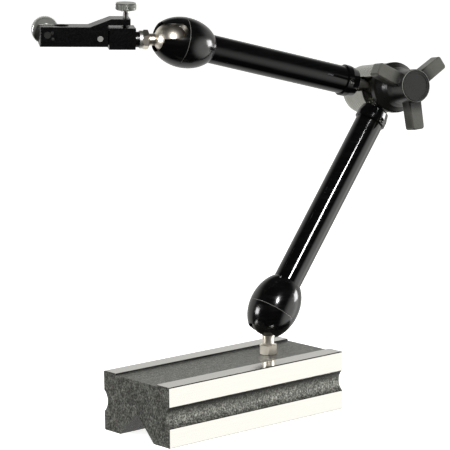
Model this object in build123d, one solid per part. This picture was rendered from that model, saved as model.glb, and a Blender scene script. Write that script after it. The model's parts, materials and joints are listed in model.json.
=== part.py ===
from build123d import *
from math import cos, radians, sin, sqrt
import os

# Articulated indicator holder on a prism guide base.  Millimetres, +Z up.
# Origin: centre of the base footprint on the resting plane.  +X runs along the base
# towards the ball stud, and the long side at -Y carries the arms' clamping knob.

# ---------------------------------------------------------------- driving dimensions

BASE_LENGTH, BASE_WIDTH, BASE_HEIGHT = 125.0, 56.0, 33.0
RAIL_WIDTH = 10.6
RECESS_DEPTH = 1.0
VEE_WIDTH, VEE_FLAT = 28.7, 2.0
SIDE_GROOVE_RADIUS, SIDE_GROOVE_DEPTH, SIDE_GROOVE_HEIGHT = 7.4, 3.0, 16.4
STUD_X = 32.0
STUD_HOLE_DEPTH = 13.0

BALL_RADIUS = 9.5
NECK_RADIUS = 3.3
HEX_ACROSS_CORNERS = 10.9
THREAD_RADIUS = 3.9
LOWER_BALL_HEIGHT = 51.9          # above the resting plane
LOWER_HEX_HEIGHT = 5.3
UPPER_HEX_START, UPPER_HEX_HEIGHT = 12.5, 3.4

EGG_RADIUS, EGG_HALF_LENGTH, EGG_CENTRE = 14.0, 19.5, 8.0
EGG_FRONT, EGG_SEAM, EGG_REAR = -7.9, 5.0, 24.0
MOUTH_RADIUS = 8.0
SLOT_WIDTH, SLOT_END = 9.2, -1.0
SEAM_GROOVE = 0.25
SEAT_CLEARANCE = 0.05
CUP_BORE_RADIUS, CUP_BORE_END = 9.6, 15.2
CUP_START, CUP_END = 4.5, 13.5

TUBE_RADIUS, TUBE_BORE = 8.0, 5.0
SPIGOT_RADIUS = 6.8
COLLAR_RADIUS, COLLAR_NOSE_RADIUS = 9.0, 8.0
COLLAR_LENGTH, SET_SCREW_FROM_END = 8.2, 2.35
LOWER_COLLAR_START, UPPER_COLLAR_START = 14.8, 18.0   # distances from the hinge axis
EYE_RADIUS, EYE_THICKNESS, EYE_SPACING = 8.7, 7.4, 8.0
EYE_NECK_RADIUS, EYE_NECK_ROOT = 2.4, 3.8
ROD_RADIUS, ROD_TIP_RADIUS, ROD_TIP_LENGTH = 3.0, 1.2, 34.0
ROD_END = 3.75                         # from the hinge axis

LOWER_ARM_LENGTH, UPPER_ARM_LENGTH = 151.7, 136.5   # ball centre to hinge axis
HINGE_AZIMUTH, HINGE_RISE = -102.3, 7.4             # direction of the hinge axis
LOWER_ARM_ANGLE, UPPER_ARM_ANGLE = 54.3, 165.1      # in the hinge plane
HOLDER_AZIMUTH, HOLDER_RISE, HOLDER_ROLL = 148.6, 1.7, 5.0
UPPER_SLOT_ROLL, LOWER_SCREW_TURN = 27.0, -90.0

SPINDLE_RADIUS, SPINDLE_THREAD_RADIUS, SPINDLE_BORE_CLEARANCE = 4.0, 3.0, 0.05
WEDGE_RADIUS, WEDGE_SLOPE, WEDGE_OFFSET = 2.4, 0.6, 1.1
HOUSING_RADIUS, HOUSING_FRONT, HOUSING_REAR = 14.2, -4.4, -28.0
POCKET_FLOOR, NECK_SLOT = -12.2, 8.4
SHIELD_THICKNESS, SHIELD_FRONT = 1.6, 5.2
SHIELD_FROM, SHIELD_TO = 6.0, 149.0
KNOB_REAR, SKIRT_FRONT, WING_REAR, WING_FRONT, KNOB_FRONT = 5.6, 10.2, 20.0, 28.2, 31.2
SKIRT_RADIUS, BOSS_RADIUS, WING_TIP_RADIUS, WING_WIDTH = 14.4, 9.4, 24.6, 7.8
KNOB_CAP_RADIUS, KNOB_CAP_DEPTH = 8.4, 1.2
WING_ANGLES = (-86.0, 31.0, 153.0)

HOLDER_THICKNESS = 12.0
BLOCK_START, BLOCK_END, BLOCK_BOTTOM, BLOCK_TOP = 20.1, 34.6, -4.8, 7.0
BOSS_START = 17.6
TONGUE_THICKNESS, TONGUE_RADIUS = 4.6, 3.9
PIVOT_ALONG, PIVOT_UP, PIVOT_RADIUS = 39.5, 1.2, 1.6
LEVER_END, LEVER_BOTTOM, LEVER_TOP = 72.2, -3.3, 7.5
RAMP_START, RAMP_END, LUG_TOP, LUG_UNDER, LUG_END = 45.3, 33.5, 12.0, 8.6, 23.1
STEM_BORE_RADIUS, STEM_BORE_ALONG, CLAMP_SLIT = 4.0, 60.2, 1.2
FINE_ALONG, FINE_STEM_RADIUS, FINE_HEAD_RADIUS = 25.2, 1.45, 5.9
FINE_HEAD_BOTTOM, FINE_HEAD_TOP = 16.4, 20.2
FINE_TIP, FINE_HOLE_FLOOR = 5.8, 4.4
CLAMP_ALONG, CLAMP_UP, CLAMP_SCREW_RADIUS = 68.2, 3.2, 1.9
CLAMP_KNOB_RADIUS, CLAMP_KNOB_START, CLAMP_KNOB_END = 7.5, 6.6, 14.0
LEVER_SCREW_RADIUS = 0.9
LEVER_SCREW_PLACES = ((1.2, 65.2), (4.4, 65.6))

# ---------------------------------------------------------------- directions and frames


def direction(azimuth, rise):
    a, r = radians(azimuth), radians(rise)
    return Vector(cos(a) * cos(r), sin(a) * cos(r), sin(r))


UP = Vector(0, 0, 1)
hinge_axis = direction(HINGE_AZIMUTH, HINGE_RISE)
hinge_side = UP.cross(hinge_axis).normalized()
hinge_up = hinge_axis.cross(hinge_side)


def in_hinge_plane(angle):
    a = radians(angle)
    return hinge_side * cos(a) + hinge_up * sin(a)


lower_along = in_hinge_plane(LOWER_ARM_ANGLE)       # lower ball to elbow
upper_out = in_hinge_plane(UPPER_ARM_ANGLE)         # elbow to upper ball
lower_ball = Vector(STUD_X, 0, LOWER_BALL_HEIGHT)
elbow = lower_ball + lower_along * LOWER_ARM_LENGTH
upper_eye_centre = elbow - hinge_axis * EYE_SPACING
upper_ball = upper_eye_centre + upper_out * UPPER_ARM_LENGTH
holder_axis = direction(HOLDER_AZIMUTH, HOLDER_RISE)

# Arm frames: z from the ball centre to the elbow, x towards the socket's side slot.
lower_slot = (lower_along * UP.dot(lower_along) - UP).normalized()
slot_zero = upper_out.cross(UP.cross(upper_out)).normalized()
slot_turn = radians(90.0 - UPPER_SLOT_ROLL)
upper_slot = slot_zero * cos(slot_turn) + slot_zero.cross(upper_out) * sin(slot_turn)
lower_arm_plane = Plane(origin=lower_ball, x_dir=lower_slot, z_dir=lower_along)
upper_arm_plane = Plane(origin=upper_ball, x_dir=upper_slot, z_dir=-upper_out)

# Elbow frame: z along the hinge axis, x level.  Holder frame: z along the stud, x up.
elbow_plane = Plane(origin=elbow, x_dir=hinge_side, z_dir=hinge_axis)
level = UP.cross(holder_axis).normalized()
holder_up = holder_axis.cross(level)
roll = radians(HOLDER_ROLL)
holder_x = holder_up * cos(roll) + level * sin(roll)
holder_plane = Plane(origin=upper_ball, x_dir=holder_x, z_dir=holder_axis)

# ---------------------------------------------------------------- helpers


def turned(points):
    """A solid of revolution about Z from (radius, height) points."""
    outline = Polyline(*[(r, 0, z) for r, z in points], close=True)
    return revolve(make_face(outline), Axis.Z)


def rod_along(axis, radius, start, end, at=(0, 0)):
    """A cylinder along X, Y or Z from start to end, its centre line at the other two coordinates."""
    length, middle = end - start, (start + end) / 2
    if axis == "x":
        return Pos(middle, at[0], at[1]) * Rot(0, 90, 0) * Cylinder(radius, length)
    if axis == "y":
        return Pos(at[0], middle, at[1]) * Rot(90, 0, 0) * Cylinder(radius, length)
    return Pos(at[0], at[1], middle) * Cylinder(radius, length)


def block(x0, x1, y0, y1, z0, z1):
    return Pos((x0 + x1) / 2, (y0 + y1) / 2, (z0 + z1) / 2) * Box(x1 - x0, y1 - y0, z1 - z0)


def knurled(radius, start, end, ribs, depth=0.35, bevel=0.6):
    """A round grip along Z with bevelled rims and straight V flutes."""
    grip = turned(
        [
            (0, start),
            (radius - bevel, start),
            (radius, start + bevel),
            (radius, end - bevel),
            (radius - bevel, end),
            (0, end),
        ]
    )
    flute = Rot(0, 0, 45) * Box(2 * depth, 2 * depth, end - start + 1)
    middle = (start + end) / 2
    return grip - [Rot(0, 0, 360 * i / ribs) * Pos(radius, 0, middle) * flute for i in range(ribs)]


# ---------------------------------------------------------------- base


def base_block():
    half, top = BASE_WIDTH / 2, BASE_HEIGHT
    rail = half - RAIL_WIDTH
    vee_top = (VEE_WIDTH - VEE_FLAT) / 2
    outline = Polyline(
        (-half, 0),
        (-VEE_WIDTH / 2, 0),
        (-VEE_FLAT / 2, vee_top),
        (VEE_FLAT / 2, vee_top),
        (VEE_WIDTH / 2, 0),
        (half, 0),
        (half, top),
        (rail, top),
        (rail, top - RECESS_DEPTH),
        (-rail, top - RECESS_DEPTH),
        (-rail, top),
        (-half, top),
        close=True,
    )
    section = make_face(Plane.YZ.offset(-BASE_LENGTH / 2) * outline)
    body = extrude(section, BASE_LENGTH, dir=(1, 0, 0))
    body = chamfer(body.edges().filter_by(Axis.X).group_by(Axis.Y)[0], 0.5)
    body = chamfer(body.edges().filter_by(Axis.X).group_by(Axis.Y)[-1], 0.5)
    groove_centre = half - SIDE_GROOVE_DEPTH + SIDE_GROOVE_RADIUS
    for side in (-1, 1):
        at = (side * groove_centre, SIDE_GROOVE_HEIGHT)
        body -= rod_along("x", SIDE_GROOVE_RADIUS, -BASE_LENGTH, BASE_LENGTH, at)
    floor = top - RECESS_DEPTH
    body -= rod_along("z", THREAD_RADIUS + 0.05, floor - STUD_HOLE_DEPTH, top, (STUD_X, 0))
    return body


# ---------------------------------------------------------------- ball studs


def ball_stud(hex_start, hex_height, thread_length):
    """Ball at the origin, shank along +Z: neck, chamfered hexagon and thread."""
    hex_end = hex_start + hex_height
    corner = HEX_ACROSS_CORNERS / 2
    hexagon = extrude(Pos(0, 0, hex_start) * RegularPolygon(corner, 6), hex_height)
    rounded = turned(
        [
            (0, hex_start),
            (corner - 0.9, hex_start),
            (corner, hex_start + 0.55),
            (corner, hex_end - 0.55),
            (corner - 0.9, hex_end),
            (0, hex_end),
        ]
    )
    neck_foot = sqrt(BALL_RADIUS**2 - NECK_RADIUS**2) - 0.4
    neck = turned(
        [
            (0, neck_foot - 3),
            (NECK_RADIUS + 0.9, neck_foot - 1.0),
            (NECK_RADIUS, neck_foot + 0.7),
            (NECK_RADIUS, hex_start - 0.6),
            (NECK_RADIUS + 0.6, hex_start),
            (0, hex_start),
        ]
    )
    thread = turned(
        [
            (0, hex_end),
            (THREAD_RADIUS - 0.5, hex_end),
            (THREAD_RADIUS - 0.5, hex_end + 1.0),
            (THREAD_RADIUS, hex_end + 1.5),
            (THREAD_RADIUS, hex_end + thread_length - 0.8),
            (THREAD_RADIUS - 0.8, hex_end + thread_length),
            (0, hex_end + thread_length),
        ]
    )
    return Sphere(BALL_RADIUS) + neck + (hexagon & rounded) + thread


# ---------------------------------------------------------------- arms


def egg():
    """The egg-shaped outside of a ball socket, ball centre at the origin."""
    bow = EllipticalCenterArc((0, EGG_CENTRE), EGG_RADIUS, EGG_HALF_LENGTH, start_angle=-90, arc_size=180)
    spine = Line((0, EGG_CENTRE + EGG_HALF_LENGTH), (0, EGG_CENTRE - EGG_HALF_LENGTH))
    return revolve(make_face(Plane.XZ * (bow + spine)), Axis.Z)


def seam_groove():
    """The fine groove where the two halves of an egg meet."""
    at_seam = EGG_RADIUS * sqrt(1 - ((EGG_SEAM - EGG_CENTRE) / EGG_HALF_LENGTH) ** 2)
    return Pos(0, 0, EGG_SEAM) * Torus(at_seam + SEAM_GROOVE / 3, SEAM_GROOVE)


def socket_front():
    seat = BALL_RADIUS + SEAT_CLEARANCE
    spigot_end = EGG_SEAM + 4.0
    shell = egg() & rod_along("z", 20, EGG_FRONT, EGG_SEAM)
    shell -= seam_groove()
    shell += rod_along("z", CUP_BORE_RADIUS + 1.6, EGG_SEAM, spigot_end)
    shell -= Sphere(seat)
    shell -= rod_along("z", seat, 0, CUP_START - 0.1)
    shell -= rod_along("z", CUP_BORE_RADIUS, CUP_START - 0.2, spigot_end + 1)
    shell -= rod_along("z", MOUTH_RADIUS, EGG_FRONT - 1, -2)
    mouth = EGG_FRONT + 0.8
    shell -= turned([(0, EGG_FRONT - 1), (MOUTH_RADIUS + 1.0, EGG_FRONT - 1), (MOUTH_RADIUS, mouth), (0, mouth)])
    half = SLOT_WIDTH / 2
    shell -= block(0, 30, -half, half, EGG_FRONT - 5, SLOT_END)
    shell -= rod_along("x", half, 0, 30, (0, SLOT_END))
    return shell


def socket_rear():
    shell = egg() & rod_along("z", 20, EGG_SEAM, EGG_REAR)
    shell -= seam_groove()
    shell -= rod_along("z", CUP_BORE_RADIUS + 1.6, EGG_SEAM - 1, EGG_SEAM + 4.0)
    shell -= rod_along("z", CUP_BORE_RADIUS, EGG_SEAM, CUP_BORE_END)
    shell -= rod_along("z", SPIGOT_RADIUS, EGG_SEAM, EGG_REAR + 1)
    notch = block(TUBE_RADIUS + 0.3, 15, -1.1, 1.1, EGG_REAR - 1.8, EGG_REAR + 1)
    return shell - [Rot(0, 0, UPPER_SLOT_ROLL + 90 * i) * notch for i in range(4)]


def pressure_cup():
    cup = rod_along("z", CUP_BORE_RADIUS - 0.1, CUP_START, CUP_END)
    cup -= Sphere(BALL_RADIUS + SEAT_CLEARANCE)
    return cup - rod_along("z", ROD_RADIUS, CUP_END - 2.0, CUP_END + 1)


def push_rod(arm_length):
    tip_start = arm_length - ROD_TIP_LENGTH
    tip_end = arm_length - ROD_END
    return turned(
        [
            (0, CUP_END - 2.0),
            (ROD_RADIUS, CUP_END - 2.0),
            (ROD_RADIUS, tip_start - 2),
            (ROD_TIP_RADIUS, tip_start),
            (ROD_TIP_RADIUS, tip_end - 0.3),
            (ROD_TIP_RADIUS - 0.3, tip_end),
            (0, tip_end),
        ]
    )


def tube(far):
    """Tube from the egg to the collar's end, which is far from the ball centre."""
    return turned(
        [
            (TUBE_BORE, CUP_BORE_END + 0.5),
            (SPIGOT_RADIUS, CUP_BORE_END + 0.5),
            (SPIGOT_RADIUS, EGG_REAR),
            (TUBE_RADIUS, EGG_REAR),
            (TUBE_RADIUS, far),
            (TUBE_BORE, far),
        ]
    )


def collar(far):
    near = far + COLLAR_LENGTH
    body = turned(
        [
            (EYE_NECK_ROOT - 0.6, far - 12),
            (TUBE_BORE, far - 12),
            (TUBE_BORE, far),
            (COLLAR_RADIUS - 0.5, far),
            (COLLAR_RADIUS, far + 0.5),
            (COLLAR_RADIUS, far + 3.6),
            (COLLAR_NOSE_RADIUS, near - 0.3),
            (COLLAR_NOSE_RADIUS - 0.3, near),
            (EYE_NECK_ROOT - 0.6, near),
        ]
    )
    return body - rod_along("x", 1.6, 0, 12, (0, far + SET_SCREW_FROM_END))


def set_screw(far):
    seat = far + SET_SCREW_FROM_END
    screw = rod_along("x", 1.6, EYE_NECK_ROOT - 0.6, 7.9, (0, seat))
    hexagon = Rot(0, 90, 0) * RegularPolygon(0.9, 6)
    return screw - extrude(Pos(6.6, 0, seat) * hexagon, 2, dir=(1, 0, 0))


def hinge_eye(arm_length, far, plane):
    """Ring around the hinge axis, with a hollow neck screwed into the collar."""
    near = far + COLLAR_LENGTH
    neck_end = arm_length - EYE_RADIUS + 2.5
    stem = EYE_NECK_ROOT - 0.6
    neck = turned(
        [
            (0, far - 4),
            (stem, far - 4),
            (stem, near),
            (EYE_NECK_ROOT, near),
            (EYE_NECK_ROOT - 0.2, near + 0.6),
            (EYE_NECK_RADIUS, neck_end),
            (0, neck_end),
        ]
    )
    axis_local = Vector(hinge_axis.dot(plane.x_dir), hinge_axis.dot(plane.y_dir), 0)
    ring_plane = Plane(origin=(0, 0, arm_length), z_dir=axis_local)
    bevel, half = 0.6, EYE_THICKNESS / 2
    ring = turned(
        [
            (0, -half),
            (EYE_RADIUS - bevel, -half),
            (EYE_RADIUS, bevel - half),
            (EYE_RADIUS, half - bevel),
            (EYE_RADIUS - bevel, half),
            (0, half),
        ]
    )
    bore = Cylinder(SPINDLE_RADIUS + SPINDLE_BORE_CLEARANCE, EYE_THICKNESS + 2)
    body = neck + ring_plane.location * ring - ring_plane.location * bore
    return body - rod_along("z", ROD_TIP_RADIUS + 0.1, far - 5, arm_length - 3.0)


# ---------------------------------------------------------------- elbow


def elbow_housing():
    """Rear drum: holds the spindle's head, cups the rear eye, slotted for that eye's neck."""
    corner = 1.2
    body = turned(
        [
            (0, HOUSING_REAR),
            (HOUSING_RADIUS - 2.2, HOUSING_REAR),
            (HOUSING_RADIUS - 0.8, HOUSING_REAR + corner),
            (HOUSING_RADIUS, HOUSING_REAR + 5.0),
            (HOUSING_RADIUS, HOUSING_FRONT),
            (0, HOUSING_FRONT),
        ]
    )
    body -= rod_along("z", EYE_RADIUS + 0.2, POCKET_FLOOR, HOUSING_FRONT + 1)
    body -= rod_along("z", SPINDLE_RADIUS + SPINDLE_BORE_CLEARANCE, HOUSING_REAR + 3, HOUSING_FRONT + 1)
    body -= rod_along("z", 7.1, HOUSING_REAR + 3, HOUSING_REAR + 9)
    slot = block(0, 20, -NECK_SLOT / 2, NECK_SLOT / 2, POCKET_FLOOR + 0.2, HOUSING_FRONT + 1)
    return body - Rot(0, 0, UPPER_ARM_ANGLE) * slot


def elbow_shield():
    """Curved guard over the outside of the elbow, open where the arms come out."""
    inner = HOUSING_RADIUS - SHIELD_THICKNESS
    ring = Cylinder(HOUSING_RADIUS, SHIELD_FRONT - HOUSING_FRONT) - Cylinder(inner, 40)
    ring = Pos(0, 0, (SHIELD_FRONT + HOUSING_FRONT) / 2) * ring
    reach = 3 * HOUSING_RADIUS
    span = SHIELD_TO - SHIELD_FROM
    steps = 6
    rays = [radians(SHIELD_FROM + span * i / steps) for i in range(steps + 1)]
    wedge = Polyline((0, 0), *[(reach * cos(a), reach * sin(a)) for a in rays], close=True)
    sector = extrude(Pos(0, 0, HOUSING_FRONT - 1) * make_face(wedge), 40)
    return ring & sector


def clamp_spindle():
    """Drawbolt with a head in the housing, two wedge grooves and a thread for the knob."""

    def groove(centre):
        run = (SPINDLE_RADIUS - WEDGE_RADIUS) / WEDGE_SLOPE
        return [(SPINDLE_RADIUS, centre - run), (WEDGE_RADIUS, centre), (SPINDLE_RADIUS, centre + run)]

    head_rear = HOUSING_REAR + 3.6
    points = [(0, head_rear), (6.6, head_rear), (6.6, head_rear + 4.4), (SPINDLE_RADIUS, head_rear + 4.4)]
    points += groove(WEDGE_OFFSET - EYE_SPACING)
    points += groove(WEDGE_OFFSET)
    thread_end = KNOB_FRONT - KNOB_CAP_DEPTH - 3
    points += [
        (SPINDLE_RADIUS, 4.6),
        (SPINDLE_THREAD_RADIUS, 5.4),
        (SPINDLE_THREAD_RADIUS, thread_end - 0.6),
        (SPINDLE_THREAD_RADIUS - 0.6, thread_end),
        (0, thread_end),
    ]
    return turned(points)


def ring(outer, inner, start, end):
    return rod_along("z", outer, start, end) - rod_along("z", inner, start - 1, end + 1)


def friction_washer():
    half_gap = (EYE_SPACING - EYE_THICKNESS) / 2
    middle = -EYE_SPACING / 2
    return ring(EYE_RADIUS - 0.5, SPINDLE_RADIUS + 0.15, middle - half_gap + 0.05, middle + half_gap - 0.05)


def thrust_washer():
    front = EYE_THICKNESS / 2
    return ring(7.6, SPINDLE_RADIUS + 0.15, front, KNOB_REAR - 0.1)


def wing(angle):
    """One flat grip of the knob, with a rounded tip."""
    half = WING_WIDTH / 2
    tip = WING_TIP_RADIUS - 2.4
    root = half + 0.4
    outline = Polyline((0, -root), (0, root), (tip + 2.4, half), (tip + 2.4, -half), close=True)
    flat = extrude(Pos(0, 0, WING_REAR) * make_face(outline), WING_FRONT - WING_REAR)
    tip_edges = flat.edges().filter_by(Axis.Z).group_by(Axis.X)[-1]
    flat = fillet(tip_edges, 1.6)
    rims = flat.edges().filter_by(lambda edge: abs(edge.tangent_at(0.5).Z) < 0.5 and edge.center().X > 1)
    return Rot(0, 0, angle) * chamfer(rims, 0.7)


def knob_body():
    body = turned(
        [
            (0, KNOB_REAR),
            (SKIRT_RADIUS - 0.5, KNOB_REAR),
            (SKIRT_RADIUS, KNOB_REAR + 0.5),
            (SKIRT_RADIUS, SKIRT_FRONT - 1.0),
            (SKIRT_RADIUS - 1.0, SKIRT_FRONT),
            (BOSS_RADIUS + 2.0, SKIRT_FRONT + 2.6),
            (BOSS_RADIUS + 0.7, SKIRT_FRONT + 6.0),
            (BOSS_RADIUS + 0.2, WING_REAR),
            (BOSS_RADIUS, KNOB_FRONT - 0.8),
            (BOSS_RADIUS - 0.8, KNOB_FRONT),
            (0, KNOB_FRONT),
        ]
    )
    for angle in WING_ANGLES:
        body += wing(angle)
    body -= rod_along("z", KNOB_CAP_RADIUS, KNOB_FRONT - KNOB_CAP_DEPTH, KNOB_FRONT + 1)
    body -= rod_along("z", 5.0, KNOB_REAR + 1.2, KNOB_FRONT)
    return body - rod_along("z", SPINDLE_RADIUS + 0.4, KNOB_REAR - 1, KNOB_REAR + 2)


def knob_insert():
    front = KNOB_FRONT - KNOB_CAP_DEPTH - 1.5
    return ring(5.0, SPINDLE_THREAD_RADIUS + SPINDLE_BORE_CLEARANCE, KNOB_REAR + 1.2, front)


def knob_cap():
    disc = rod_along("z", KNOB_CAP_RADIUS, KNOB_FRONT - KNOB_CAP_DEPTH, KNOB_FRONT - 0.25)
    return disc - rod_along("z", KNOB_CAP_RADIUS - 1.0, KNOB_FRONT - 0.55, KNOB_FRONT)


# ---------------------------------------------------------------- indicator holder
# In the holder frame z runs along the stud away from the ball, x is the holder's up
# and y its thickness: the front face is at -y and the stem clamp's knob at +y.


def stud_washer():
    start = UPPER_HEX_START + UPPER_HEX_HEIGHT
    return ring(4.9, THREAD_RADIUS + 0.1, start + 0.05, BOSS_START)


def holder_block():
    """Block on the stud's thread, with a tongue that carries the lever."""
    half = HOLDER_THICKNESS / 2
    body = block(BLOCK_BOTTOM, BLOCK_TOP, -half, half, BLOCK_START, BLOCK_END)
    body = chamfer(body.edges().filter_by(Axis.Z), 0.4)
    body += rod_along("z", 4.3, BOSS_START, BLOCK_START + 1)
    cheek = TONGUE_THICKNESS / 2
    low, high = PIVOT_UP - TONGUE_RADIUS, PIVOT_UP + TONGUE_RADIUS
    body += block(low, high, -cheek, cheek, BLOCK_END - 1, PIVOT_ALONG)
    body += rod_along("y", TONGUE_RADIUS, -cheek, cheek, (PIVOT_UP, PIVOT_ALONG))
    body -= rod_along("y", PIVOT_RADIUS, -half, half, (PIVOT_UP, PIVOT_ALONG))
    body -= rod_along("z", THREAD_RADIUS + 0.05, BOSS_START - 1, BLOCK_START + 9)
    return body - rod_along("x", FINE_STEM_RADIUS + 0.9, FINE_HOLE_FLOOR, BLOCK_TOP + 1, (0, FINE_ALONG))


def pivot_pin():
    half = HOLDER_THICKNESS / 2
    return rod_along("y", PIVOT_RADIUS, -half + 0.1, half - 0.1, (PIVOT_UP, PIVOT_ALONG))


def adjust_lever():
    """Split clamp lever: stem bore at one end, fine-adjust lug over the block."""
    half = HOLDER_THICKNESS / 2
    near = BLOCK_END + 0.5
    outline = Polyline(
        (LEVER_BOTTOM, 0, near),
        (LEVER_BOTTOM, 0, LEVER_END),
        (LEVER_TOP, 0, LEVER_END),
        (LEVER_TOP, 0, RAMP_START),
        (LUG_TOP, 0, RAMP_END),
        (LUG_TOP, 0, LUG_END),
        (LUG_UNDER, 0, LUG_END),
        (LUG_UNDER, 0, near),
        close=True,
    )
    body = extrude(make_face(outline), half, both=True)
    body = chamfer(body.faces().filter_by(Axis.Y).edges(), 0.4)
    gap = TONGUE_THICKNESS / 2 + 0.1
    body -= block(LEVER_BOTTOM - 1, LUG_UNDER - 1.2, -gap, gap, near - 1, PIVOT_ALONG + TONGUE_RADIUS + 0.6)
    pin = PIVOT_RADIUS + 0.05
    body -= rod_along("y", pin, -half - 1, half + 1, (PIVOT_UP, PIVOT_ALONG))
    body -= rod_along("x", STEM_BORE_RADIUS, LEVER_BOTTOM - 1, LEVER_TOP + 1, (0, STEM_BORE_ALONG))
    slit = CLAMP_SLIT / 2
    body -= block(LEVER_BOTTOM - 1, LEVER_TOP + 1, -slit, slit, STEM_BORE_ALONG, LEVER_END + 1)
    clamp = CLAMP_SCREW_RADIUS + 0.05
    body -= rod_along("y", clamp, -half - 1, half + 1, (CLAMP_UP, CLAMP_ALONG))
    body -= rod_along("x", FINE_STEM_RADIUS + 0.05, LUG_UNDER - 1, LUG_TOP + 1, (0, FINE_ALONG))
    for up, along in LEVER_SCREW_PLACES:
        body -= rod_along("y", LEVER_SCREW_RADIUS, -half - 1, 2.6 - half, (up, along))
    return body


def lever_screws():
    """Two tiny grub screws in the lever's front face."""
    half = HOLDER_THICKNESS / 2
    screws = []
    for up, along in LEVER_SCREW_PLACES:
        screw = rod_along("y", LEVER_SCREW_RADIUS, 0.2 - half, 2.6 - half, (up, along))
        screws.append(screw - block(up - 0.15, up + 0.15, -half, 0.6 - half, along - 2, along + 2))
    return Compound(children=[s.solid() for s in screws])


def fine_screw_stem():
    tip, shoulder = FINE_TIP, FINE_HEAD_BOTTOM
    return rod_along("x", FINE_STEM_RADIUS, tip, shoulder + 2.0, (0, FINE_ALONG))


def fine_screw_head():
    head = knurled(FINE_HEAD_RADIUS, FINE_HEAD_BOTTOM, FINE_HEAD_TOP, 36)
    head += rod_along("z", 2.4, FINE_HEAD_BOTTOM - 1.2, FINE_HEAD_BOTTOM)
    head -= rod_along("z", FINE_STEM_RADIUS, FINE_HEAD_BOTTOM - 2, FINE_HEAD_BOTTOM + 2.0)
    return Pos(0, 0, FINE_ALONG) * Rot(0, 90, 0) * head


def stem_clamp_screw():
    front, rear = 0.3 - HOLDER_THICKNESS / 2, CLAMP_KNOB_END - 2.0
    return rod_along("y", CLAMP_SCREW_RADIUS, front, rear, (CLAMP_UP, CLAMP_ALONG))


def stem_clamp_knob():
    knob = knurled(CLAMP_KNOB_RADIUS, CLAMP_KNOB_START + 0.9, CLAMP_KNOB_END, 40)
    knob += rod_along("z", 4.2, CLAMP_KNOB_START, CLAMP_KNOB_START + 1)
    knob -= rod_along("z", CLAMP_SCREW_RADIUS, 0, CLAMP_KNOB_END - 2.0)
    return Pos(CLAMP_UP, 0, CLAMP_ALONG) * Rot(-90, 0, 0) * knob


# ---------------------------------------------------------------- assembly


def arm_parts(prefix, length, collar_start, screw_turn, plane):
    """The pieces of one arm, built along Z from the ball centre, then placed."""
    far = length - collar_start - COLLAR_LENGTH
    turn = Rot(0, 0, screw_turn)
    pieces = {
        "socket_front": socket_front(),
        "socket_rear": socket_rear(),
        "pressure_cup": pressure_cup(),
        "push_rod": push_rod(length),
        "tube": tube(far),
        "collar": turn * collar(far),
        "set_screw": turn * set_screw(far),
        "hinge_eye": hinge_eye(length, far, plane),
    }
    return {f"{prefix}_{name}": plane.location * solid for name, solid in pieces.items()}


def all_parts():
    floor = BASE_HEIGHT - RECESS_DEPTH + 0.05
    lower_hex_start = LOWER_BALL_HEIGHT - floor - LOWER_HEX_HEIGHT
    stud_frame = Plane(origin=lower_ball, z_dir=(0, 0, -1))
    lower_stud = ball_stud(lower_hex_start, LOWER_HEX_HEIGHT, STUD_HOLE_DEPTH - 1.0)
    upper_stud = ball_stud(UPPER_HEX_START, UPPER_HEX_HEIGHT, 12.0)
    parts = {
        "base_block": base_block(),
        "lower_ball_stud": stud_frame.location * Rot(0, 0, 10) * lower_stud,
    }
    lower = (LOWER_ARM_LENGTH, LOWER_COLLAR_START, LOWER_SCREW_TURN)
    upper = (UPPER_ARM_LENGTH, UPPER_COLLAR_START, UPPER_SLOT_ROLL)
    parts.update(arm_parts("lower", *lower, lower_arm_plane))
    parts.update(arm_parts("upper", *upper, upper_arm_plane))
    for make in (
        elbow_housing,
        elbow_shield,
        friction_washer,
        thrust_washer,
        clamp_spindle,
        knob_body,
        knob_insert,
        knob_cap,
    ):
        parts[make.__name__] = elbow_plane.location * make()
    parts["upper_ball_stud"] = holder_plane.location * upper_stud
    for make in (
        stud_washer,
        holder_block,
        pivot_pin,
        adjust_lever,
        lever_screws,
        fine_screw_head,
        fine_screw_stem,
        stem_clamp_knob,
        stem_clamp_screw,
    ):
        parts[make.__name__] = holder_plane.location * make()
    return parts


def show(name, vector):
    print(name, [round(value, 5) for value in (vector.X, vector.Y, vector.Z)])


show("lower_ball", lower_ball)
show("elbow", elbow)
show("upper_eye_centre", upper_eye_centre)
show("upper_ball", upper_ball)
show("hinge_axis", hinge_axis)
show("lower_along", lower_along)
show("upper_out", upper_out)
show("holder_axis", holder_axis)
show("holder_up", holder_plane.x_dir)
show("holder_side", holder_plane.y_dir)
show("lower_tilt_axis", lower_arm_plane.y_dir)
show("upper_tilt_axis", upper_arm_plane.y_dir)
print("lower tilt", round(lower_along.get_angle(UP), 2), "upper tilt", round(upper_out.get_angle(holder_axis), 2))

os.makedirs("parts", exist_ok=True)
for node, solid in all_parts().items():
    export_step(solid, f"parts/{node}.step")
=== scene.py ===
"""Looks and studio for an articulated indicator holder on a prism guide base.

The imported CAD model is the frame. Every length here is in metres, in the same
frame as the CAD: +Z up, +X along the base block, and the knob on the -Y side.
"""

import json
from math import radians

import bpy
from mathutils import Matrix, Vector


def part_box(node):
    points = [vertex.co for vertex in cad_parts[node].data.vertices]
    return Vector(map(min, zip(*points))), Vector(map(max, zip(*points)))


MM = 0.001

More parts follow.
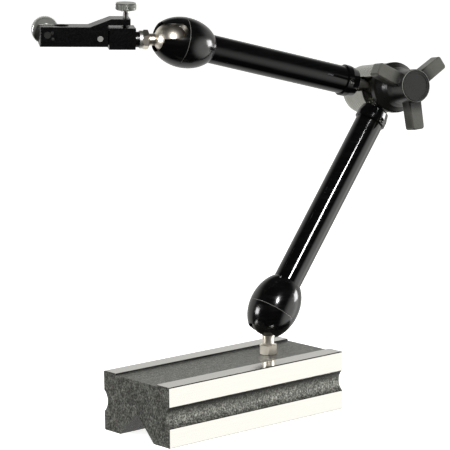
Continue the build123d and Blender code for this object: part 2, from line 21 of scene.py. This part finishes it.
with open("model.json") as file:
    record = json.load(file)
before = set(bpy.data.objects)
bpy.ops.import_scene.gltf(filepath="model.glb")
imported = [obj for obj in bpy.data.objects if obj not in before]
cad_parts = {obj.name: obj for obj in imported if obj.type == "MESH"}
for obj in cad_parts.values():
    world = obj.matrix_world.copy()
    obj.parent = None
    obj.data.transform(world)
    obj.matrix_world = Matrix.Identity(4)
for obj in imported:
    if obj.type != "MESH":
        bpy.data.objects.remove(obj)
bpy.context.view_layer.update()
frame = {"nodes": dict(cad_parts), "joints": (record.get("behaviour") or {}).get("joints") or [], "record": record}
nodes = frame["nodes"]
record = frame["record"]
slot_of = {part["node"]: part["material_slot"] for part in record["subparts"]}
joints = {joint["name"]: joint for joint in frame["joints"]}


def joint_axis(name):
    return Vector(joints[name]["axis"]).normalized()


def joint_place(name):
    return Vector(joints[name]["pos_m"])


LOWER_AXIS = joint_axis("lower_rod_slide")
UPPER_AXIS = joint_axis("upper_rod_slide")
HINGE_AXIS = joint_axis("knob_turn")
HOLDER_AXIS = joint_axis("holder_spin")
HOLDER_UP = joint_axis("fine_screw_turn")
HOLDER_SIDE = joint_axis("stem_clamp_turn")
UP = Vector((0.0, 0.0, 1.0))

# ---------------------------------------------------------------- camera

CAMERA_PLACE = Vector((-0.7921, -0.9267, 0.3153))
CAMERA_AZIMUTH, CAMERA_ELEVATION, CAMERA_ROLL = -40.57, 9.62, -0.73
LENS, SENSOR = 181.69, 36.0


def add_camera():
    data = bpy.data.cameras.new("camera")
    data.lens = LENS
    data.sensor_width = SENSOR
    data.clip_end = 50.0
    camera = bpy.data.objects.new("camera", data)
    bpy.context.scene.collection.objects.link(camera)
    turn = Matrix.Rotation(radians(CAMERA_AZIMUTH), 4, "Z")
    tilt = Matrix.Rotation(radians(90.0 - CAMERA_ELEVATION), 4, "X")
    roll = Matrix.Rotation(radians(CAMERA_ROLL), 4, "Z")
    camera.matrix_world = Matrix.Translation(CAMERA_PLACE) @ turn @ tilt @ roll
    bpy.context.scene.camera = camera
    return camera.matrix_world.to_3x3()


# ---------------------------------------------------------------- node helpers


class Shader:
    """A material's node tree, with short calls for the nodes used here."""

    def __init__(self, name):
        self.material = bpy.data.materials.new(name)
        self.material.use_nodes = True
        self.tree = self.material.node_tree
        self.surface = self.tree.nodes["Principled BSDF"]
        self.place = self.node("ShaderNodeTexCoord").outputs["Object"]

    def node(self, kind, **values):
        made = self.tree.nodes.new(kind)
        for name, value in values.items():
            setattr(made, name, value)
        return made

    def link(self, source, target):
        if isinstance(source, (int, float, tuple)):
            target.default_value = source
        else:
            self.tree.links.new(source, target)

    def set(self, **values):
        """Constants go straight on the shader's own sockets."""
        for name, value in values.items():
            socket = name.upper() if name == "ior" else name.replace("_", " ").title()
            self.surface.inputs[socket].default_value = value

    def feed(self, name, source):
        self.link(source, self.surface.inputs[name])

    def math(self, operation, a, b=0.0, clamp=False):
        made = self.node("ShaderNodeMath", operation=operation, use_clamp=clamp)
        self.link(a, made.inputs[0])
        self.link(b, made.inputs[1])
        return made.outputs[0]

    def dot(self, vector, axis):
        made = self.node("ShaderNodeVectorMath", operation="DOT_PRODUCT")
        self.link(vector, made.inputs[0])
        made.inputs[1].default_value = axis
        return made.outputs["Value"]

    def stretch(self, scale):
        made = self.node("ShaderNodeVectorMath", operation="MULTIPLY")
        self.link(self.place, made.inputs[0])
        made.inputs[1].default_value = scale
        return made.outputs[0]

    def noise(self, scale, detail=3.0, vector=None, rough=0.5):
        made = self.node("ShaderNodeTexNoise")
        self.link(vector or self.place, made.inputs["Vector"])
        made.inputs["Scale"].default_value = scale
        made.inputs["Detail"].default_value = detail
        made.inputs["Roughness"].default_value = rough
        return made.outputs["Fac"]

    def lines(self, axis, pitch, detail=2.0):
        """Fine lathe marks: noise that changes only along an axis."""
        along = self.dot(self.place, axis)
        made = self.node("ShaderNodeTexNoise", noise_dimensions="1D")
        self.link(along, made.inputs["W"])
        made.inputs["Scale"].default_value = 1.0 / pitch
        made.inputs["Detail"].default_value = detail
        return made.outputs["Fac"]

    def distance(self, point):
        made = self.node("ShaderNodeVectorMath", operation="DISTANCE")
        self.link(self.place, made.inputs[0])
        made.inputs[1].default_value = point
        return made.outputs["Value"]

    def range(self, value, low, high, start=0.0, end=1.0):
        made = self.node("ShaderNodeMapRange", clamp=True)
        self.link(value, made.inputs["Value"])
        made.inputs["From Min"].default_value = start
        made.inputs["From Max"].default_value = end
        made.inputs["To Min"].default_value = low
        made.inputs["To Max"].default_value = high
        return made.outputs["Result"]

    def mix(self, share, a, b):
        """Colour between a and b."""
        made = self.node("ShaderNodeMix", data_type="RGBA")
        self.link(share, made.inputs["Factor"])
        self.link(opaque(a), made.inputs[6])
        self.link(opaque(b), made.inputs[7])
        return made.outputs[2]

    def blend(self, share, a, b):
        """Number between a and b."""
        made = self.node("ShaderNodeMix", data_type="FLOAT")
        self.link(share, made.inputs["Factor"])
        self.link(a, made.inputs[2])
        self.link(b, made.inputs[3])
        return made.outputs[0]

    def bump(self, height, depth, strength=1.0):
        made = self.node("ShaderNodeBump")
        made.inputs["Strength"].default_value = strength
        made.inputs["Distance"].default_value = depth
        self.link(height, made.inputs["Height"])
        self.link(made.outputs["Normal"], self.surface.inputs["Normal"])


def opaque(colour):
    return (*colour, 1.0) if isinstance(colour, tuple) and len(colour) == 3 else colour


# ---------------------------------------------------------------- materials

PAINT_DARK, PAINT_LIGHT = (0.020, 0.020, 0.017), (0.44, 0.45, 0.385)
GROUND_STEEL, GRINDING_MARK = (0.57, 0.557, 0.525), (0.45, 0.445, 0.41)
SPECKLE_SIZE, CLUMP_SIZE = 1.0 * MM, 3.2 * MM
FLAKE_SHARE = 0.45
# Painted shade: near-black on the recess's step walls, and dark paint on faces turned down such as the vee.
STEP_PAINTED_SHADE, UNDERSIDE_PAINTED_SHADE = (0.004, 0.004, 0.004), (0.010, 0.010, 0.009)
GROUND_LAYER, RECESS_LAYER = 0.3 * MM, 1.2 * MM
NEARLY_FACING = 0.9


# Painted reflection: metal near the lower ball's centre is painted dark, standing in for the dark recess it
# mirrors.
DARK_REFLECTION_RADIUS, BALL_DARK_REFLECTION = 9.7 * MM, (0.05, 0.05, 0.045)
SEAM_FROM_BALL, SEAM_HALF_WIDTH, SEAM_METAL = 5.0 * MM, 0.16 * MM, (0.14, 0.135, 0.125)


def block_material():
    """Hammered paint, with the rails, long sides and feet ground to bare steel, and painted shade on the recess's
    step walls and on faces turned down.
    """
    low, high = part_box("base_block")
    shader = Shader("block_steel")
    normal = shader.node("ShaderNodeNewGeometry").outputs["Normal"]
    z = shader.dot(shader.place, UP)
    y = shader.dot(shader.place, Vector((0.0, 1.0, 0.0)))
    facing_up = shader.math("GREATER_THAN", shader.dot(normal, UP), NEARLY_FACING)
    at_top = shader.math("GREATER_THAN", z, high.z - GROUND_LAYER)
    at_foot = shader.math("LESS_THAN", z, low.z + GROUND_LAYER)
    depth = shader.math("ABSOLUTE", y)
    at_side = shader.math("GREATER_THAN", depth, high.y - GROUND_LAYER)
    rail = shader.math("MULTIPLY", facing_up, at_top)
    ground = shader.math("MAXIMUM", shader.math("MAXIMUM", rail, at_side), at_foot)
    fine = shader.noise(1.0 / SPECKLE_SIZE, 3.0, rough=0.65)
    clumps = shader.noise(1.0 / CLUMP_SIZE, 4.0, rough=0.75)
    grains = shader.blend(0.36, fine, clumps)
    patches = shader.noise(90.0, 2.0)
    speckle = shader.math("POWER", shader.range(grains, 0.0, 1.0, 0.40, 0.68), 1.6)
    paint = shader.mix(speckle, PAINT_DARK, PAINT_LIGHT)
    paint = shader.mix(shader.range(patches, 0.0, 0.3), paint, PAINT_DARK)
    # Painted shade: the recess's step walls, facing along Y within RECESS_LAYER of the top, are painted near-black
    # as if in shadow.
    across = shader.math("ABSOLUTE", shader.dot(normal, Vector((0.0, 1.0, 0.0))))
    upright = shader.math("GREATER_THAN", across, NEARLY_FACING)
    beside_recess = shader.math("GREATER_THAN", z, high.z - RECESS_LAYER)
    step_wall_shade = shader.math("MULTIPLY", upright, beside_recess)
    paint = shader.mix(step_wall_shade, paint, STEP_PAINTED_SHADE)
    # Painted shade: faces turned downward, like the vee's walls, are painted darker the more they face the floor.
    underside_shade = shader.range(shader.dot(normal, UP), 0.85, 0.0, -0.6, 0.05)
    paint = shader.mix(underside_shade, paint, UNDERSIDE_PAINTED_SHADE)
    marks = shader.noise(1.0, 3.0, shader.stretch((30.0, 5000.0, 5000.0)))
    steel = shader.mix(shader.range(marks, 0.0, 0.5), GROUND_STEEL, GRINDING_MARK)
    shader.feed("Base Color", shader.mix(ground, paint, steel))
    shader.feed("Metallic", shader.blend(ground, FLAKE_SHARE, 1.0))
    paint_gloss = shader.range(grains, 0.22, 0.45)
    steel_gloss = shader.range(marks, 0.10, 0.20)
    shader.feed("Roughness", shader.blend(ground, paint_gloss, steel_gloss))
    relief = shader.math("MULTIPLY", grains, shader.math("SUBTRACT", 1.0, ground))
    shader.bump(relief, 0.5 * MM, 1.0)
    return shader.material


def metal_material(name, colour, roughness, axis, marks=0.12 * MM, depth=0.004 * MM, ball=None):
    """Turned metal: faint rings along an axis, cloudy handling marks, and a painted dark reflection on a ball."""
    shader = Shader(name)
    shader.set(metallic=1.0)
    rings = shader.lines(axis, marks)
    cloud = shader.noise(260.0, 4.0)
    darker = tuple(0.8 * channel for channel in colour)
    shade = shader.mix(shader.range(cloud, 0.0, 0.6, 0.3, 0.8), colour, darker)
    if ball:
        # Painted reflection: dark colour within a radius of the ball centre.
        dark_reflection_mask = shader.math("LESS_THAN", shader.distance(ball), DARK_REFLECTION_RADIUS)
        shade = shader.mix(dark_reflection_mask, shade, BALL_DARK_REFLECTION)
    shader.feed("Base Color", shade)
    wear = shader.math("ADD", shader.range(rings, -0.04, 0.05), shader.range(cloud, 0.0, 0.08))
    shader.feed("Roughness", shader.math("ADD", wear, roughness, clamp=True))
    shader.bump(rings, depth)
    return shader.material


def enamel_material(name, colour, roughness, axis, ball=None):
    """Gloss enamel with a trace of orange peel, wiping marks, and a bright seam round an egg."""
    shader = Shader(name)
    shader.set(ior=1.52)
    peel = shader.noise(1500.0, 2.0)
    wipe = shader.noise(1.0, 3.0, shader.stretch((90.0, 90.0, 700.0)))
    lighter = tuple(2.2 * channel for channel in colour)
    shade = shader.mix(shader.range(wipe, 0.0, 0.7, 0.45, 0.8), colour, lighter)
    if ball:
        along = shader.math("SUBTRACT", shader.dot(shader.place, axis), ball.dot(axis) + SEAM_FROM_BALL)
        seam = shader.math("LESS_THAN", shader.math("ABSOLUTE", along), SEAM_HALF_WIDTH)
        shade = shader.mix(seam, shade, SEAM_METAL)
    shader.feed("Base Color", shade)
    shader.feed("Roughness", shader.range(wipe, roughness, roughness + 0.10, 0.35, 0.75))
    rings = shader.lines(axis, 1.4 * MM, 1.0)
    height = shader.math("ADD", peel, shader.math("MULTIPLY", rings, 0.25))
    shader.bump(height, 0.002 * MM, 0.25)
    return shader.material


# Radii are from the knob's axis, and heights along it from the elbow.
WING_ROOT, WING_MIDDLE = 11.0 * MM, 15.5 * MM
SKIRT_TOP, WING_BACK = 17.0 * MM, 21.0 * MM
# Painted highlight: a pale ring on the boss's edge stands in for light caught by its chamfer.
RIM_RADIUS, RIM_HEIGHT, RIM_HIGHLIGHT_COLOUR = 8.9 * MM, 30.6 * MM, (0.20, 0.20, 0.18)


def plastic_material(name, colour, wing_sheen):
    """Moulded plastic with a fine grain, and a painted sheen making the wings paler."""
    shader = Shader(name)
    shader.set(ior=1.49)
    centre = shader.node("ShaderNodeVectorMath", operation="SUBTRACT")
    shader.link(shader.place, centre.inputs[0])
    centre.inputs[1].default_value = joint_place("knob_turn")
    across = shader.node("ShaderNodeVectorMath", operation="CROSS_PRODUCT")
    shader.link(centre.outputs[0], across.inputs[0])
    across.inputs[1].default_value = HINGE_AXIS
    radius = shader.node("ShaderNodeVectorMath", operation="LENGTH")
    shader.link(across.outputs[0], radius.inputs[0])
    out = shader.dot(centre.outputs[0], HINGE_AXIS)
    on_wing = shader.range(radius.outputs["Value"], 0.0, 1.0, WING_ROOT, WING_MIDDLE)
    past_skirt = shader.range(out, 0.0, 1.0, SKIRT_TOP, WING_BACK)
    grain = shader.noise(2600.0, 3.0, rough=0.6)
    cloud = shader.noise(120.0, 3.0)
    # Painted highlight: pale ring past the rim radius and height.
    rim_highlight = shader.math("GREATER_THAN", radius.outputs["Value"], RIM_RADIUS)
    rim_highlight = shader.math("MULTIPLY", rim_highlight, shader.math("GREATER_THAN", out, RIM_HEIGHT))
    # Painted sheen: the wings' outer parts are painted paler in random patches, standing in for the light they
    # reflect.
    sheen_share = shader.math("MULTIPLY", on_wing, past_skirt)
    sheen_share = shader.math("MULTIPLY", sheen_share, shader.range(cloud, 0.75, 1.0, 0.3, 0.7))
    shade = shader.mix(rim_highlight, shader.mix(sheen_share, colour, wing_sheen), RIM_HIGHLIGHT_COLOUR)
    shader.feed("Base Color", shade)
    shader.feed("Roughness", shader.range(grain, 0.24, 0.40, 0.3, 0.7))
    shader.bump(grain, 0.04 * MM, 0.45)
    return shader.material


def oxide_material(name, colour):
    """Satin black oxide on machined steel."""
    shader = Shader(name)
    shader.set(ior=1.5)
    grain = shader.noise(900.0, 4.0)
    scuffs = shader.noise(1.0, 4.0, shader.stretch((160.0, 160.0, 900.0)))
    lighter = tuple(2.6 * channel for channel in colour)
    shader.feed("Base Color", shader.mix(shader.range(scuffs, 0.0, 0.8, 0.5, 0.8), colour, lighter))
    shader.feed("Roughness", shader.range(grain, 0.20, 0.32, 0.3, 0.7))
    shader.bump(grain, 0.012 * MM, 0.25)
    return shader.material


EGG_ROUGHNESS, TUBE_ROUGHNESS = 0.13, 0.05


def axis_of(node):
    """The axis that a node was turned about."""
    if node.startswith("lower_") and node != "lower_ball_stud":
        return LOWER_AXIS
    if node == "lower_ball_stud":
        return UP
    if node.startswith("upper_") and node != "upper_ball_stud":
        return UPPER_AXIS
    if node.startswith("fine_"):
        return HOLDER_UP
    if node.startswith("stem_") or node in ("pivot_pin", "lever_screws"):
        return HOLDER_SIDE
    if node.startswith(("elbow_", "knob_", "clamp_", "friction_", "thrust_")):
        return HINGE_AXIS
    return HOLDER_AXIS


def ball_of(node):
    """The ball centre that an egg's seam or a ball's painted dark reflection is measured from."""
    if node.startswith("lower_") and ("socket" in node or "stud" in node):
        return joint_place("lower_tilt")
    if node.startswith("upper_socket"):
        return joint_place("upper_tilt")
    return None


METALS = {
    "nickel": ((0.95, 0.88, 0.77), 0.32),
    "steel_polished": ((0.62, 0.62, 0.57), 0.40),
    "steel_dark": ((0.20, 0.20, 0.19), 0.30),
    "steel_bright": ((0.78, 0.77, 0.73), 0.40),
    "bronze": ((0.55, 0.40, 0.20), 0.28),
    "gunmetal": ((0.56, 0.57, 0.53), 0.34),
}
HOUSING_COLOUR, HOUSING_ROUGHNESS = (0.37, 0.37, 0.335), 0.22
# The second knob colour is a painted sheen for the wings.
KNOB_COLOUR, KNOB_WING_SHEEN = (0.008, 0.008, 0.007), (0.090, 0.089, 0.077)
ENAMEL_COLOUR, OXIDE_COLOUR = (0.0022, 0.0022, 0.0022), (0.0025, 0.0025, 0.0025)


def finish_for(slot, axis, ball, name):
    """The material for a slot, its marks running round the given axis."""
    if slot == "block_steel":
        return block_material()
    if slot in METALS:
        colour, roughness = METALS[slot]
        return metal_material(name, colour, roughness, axis, ball=ball)
    if slot == "housing_grey":
        return metal_material(name, HOUSING_COLOUR, HOUSING_ROUGHNESS, axis, 0.5 * MM, 0.003 * MM)
    if slot == "arm_black":
        gloss = EGG_ROUGHNESS if ball else TUBE_ROUGHNESS
        return enamel_material(name, ENAMEL_COLOUR, gloss, axis, ball)
    if slot == "knob_plastic":
        return plastic_material(name, KNOB_COLOUR, KNOB_WING_SHEEN)
    return oxide_material(name, OXIDE_COLOUR)


def dress_nodes():
    """Give every CAD node its material, shared where slot and axis are the same."""
    made = {}
    for node, slot in sorted(slot_of.items()):
        axis = axis_of(node)
        ball = ball_of(node)
        slot = "steel_polished" if "hinge_eye" in node else slot
        key = (slot, tuple(axis), ball is None)
        if key not in made:
            made[key] = finish_for(slot, axis, ball, f"{slot}_{len(made)}")
        data = nodes[node].data
        data.materials.clear()
        data.materials.append(made[key])


# ---------------------------------------------------------------- studio

BACKDROP_LIGHT, FRONT_LIGHT, TABLE_LIGHT = 0.78, 0.010, 1.9
TABLE_DIRECTION = Vector((0.69, -0.67, -0.26))
FLOOR_SIZE = 8.0


class Room:
    """The world's node tree: light that depends only on direction."""

    def __init__(self, world):
        self.tree = world.node_tree
        self.tree.nodes.clear()
        self.direction = self.tree.nodes.new("ShaderNodeTexCoord").outputs["Generated"]

    def towards(self, aim, start, end, low, high):
        """From low to high as the direction's part along aim goes from start to end."""
        dot = self.tree.nodes.new("ShaderNodeVectorMath")
        dot.operation = "DOT_PRODUCT"
        dot.inputs[1].default_value = aim.normalized()
        self.tree.links.new(self.direction, dot.inputs[0])
        ramp = self.tree.nodes.new("ShaderNodeMapRange")
        ramp.interpolation_type = "SMOOTHSTEP"
        self.tree.links.new(dot.outputs["Value"], ramp.inputs["Value"])
        values = {"From Min": start, "From Max": end, "To Min": low, "To Max": high}
        for name, value in values.items():
            ramp.inputs[name].default_value = value
        return ramp.outputs["Result"]

    def join(self, operation, a, b):
        made = self.tree.nodes.new("ShaderNodeMath")
        made.operation = operation
        self.tree.links.new(a, made.inputs[0])
        self.tree.links.new(b, made.inputs[1])
        return made.outputs[0]


def add_world(view):
    """A pale backdrop behind, a dark room in front, and a lit table to the right."""
    world = bpy.data.worlds.new("studio")
    bpy.context.scene.world = world
    world.use_nodes = True
    room = Room(world)
    ahead = -(view @ Vector((0.0, 0.0, 1.0)))
    ahead.z = 0.0
    behind = room.towards(ahead, 0.0, 0.36, FRONT_LIGHT, BACKDROP_LIGHT)
    below_top = room.towards(UP, 0.75, 0.35, 0.03, 1.0)
    table = room.towards(TABLE_DIRECTION, 0.72, 0.98, 0.0, TABLE_LIGHT)
    light = room.join("ADD", room.join("MULTIPLY", behind, below_top), table)
    nodes_new, link = room.tree.nodes.new, room.tree.links.new
    seen = nodes_new("ShaderNodeLightPath").outputs["Is Camera Ray"]
    strength = nodes_new("ShaderNodeMix")
    strength.data_type = "FLOAT"
    link(seen, strength.inputs["Factor"])
    link(light, strength.inputs[2])
    strength.inputs[3].default_value = 1.0
    background = nodes_new("ShaderNodeBackground")
    background.inputs["Color"].default_value = (1.0, 1.0, 0.975, 1.0)
    link(strength.outputs[0], background.inputs["Strength"])
    link(background.outputs[0], nodes_new("ShaderNodeOutputWorld").inputs["Surface"])


def add_floor():
    data = bpy.data.meshes.new("floor")
    half = FLOOR_SIZE / 2
    corners = [(-half, -half, 0), (half, -half, 0), (half, half, 0), (-half, half, 0)]
    data.from_pydata(corners, [], [(0, 1, 2, 3)])
    floor = bpy.data.objects.new("floor", data)
    floor.location.z = -0.02 * MM
    bpy.context.scene.collection.objects.link(floor)
    shader = Shader("floor_white")
    shader.set(base_color=(0.9, 0.9, 0.89, 1.0), roughness=0.9, emission_strength=0.9)
    shader.set(emission_color=(1.0, 1.0, 0.985, 1.0))
    data.materials.append(shader.material)
    floor.visible_glossy = False
    floor.visible_diffuse = False


def add_softbox(name, direction, distance, width, height, power):
    target = Vector((0.05, 0.0, 0.11))
    data = bpy.data.lights.new(name, "AREA")
    data.shape = "RECTANGLE"
    data.size = width
    data.size_y = height
    data.energy = power
    light = bpy.data.objects.new(name, data)
    light.location = target + direction.normalized() * distance
    light.rotation_mode = "QUATERNION"
    light.rotation_quaternion = direction.to_track_quat("Z", "Y")
    bpy.context.scene.collection.objects.link(light)
    return light


def add_studio():
    view = add_camera()
    add_world(view)
    add_floor()
    add_softbox("key", Vector((-0.370, -0.759, 0.535)), 1.0, 0.10, 0.22, 7.0)
    add_softbox("left", Vector((-0.905, 0.387, 0.16)), 1.1, 0.34, 0.26, 5.0)
    add_softbox("right", Vector((0.85, -0.46, 0.10)), 1.1, 0.40, 0.36, 6.0)
    overhead = add_softbox("overhead", Vector((-0.10, -0.25, 1.0)), 1.2, 1.2, 1.2, 12.0)
    overhead.visible_glossy = False
    bpy.context.scene.view_settings.view_transform = "Standard"


dress_nodes()
add_studio()
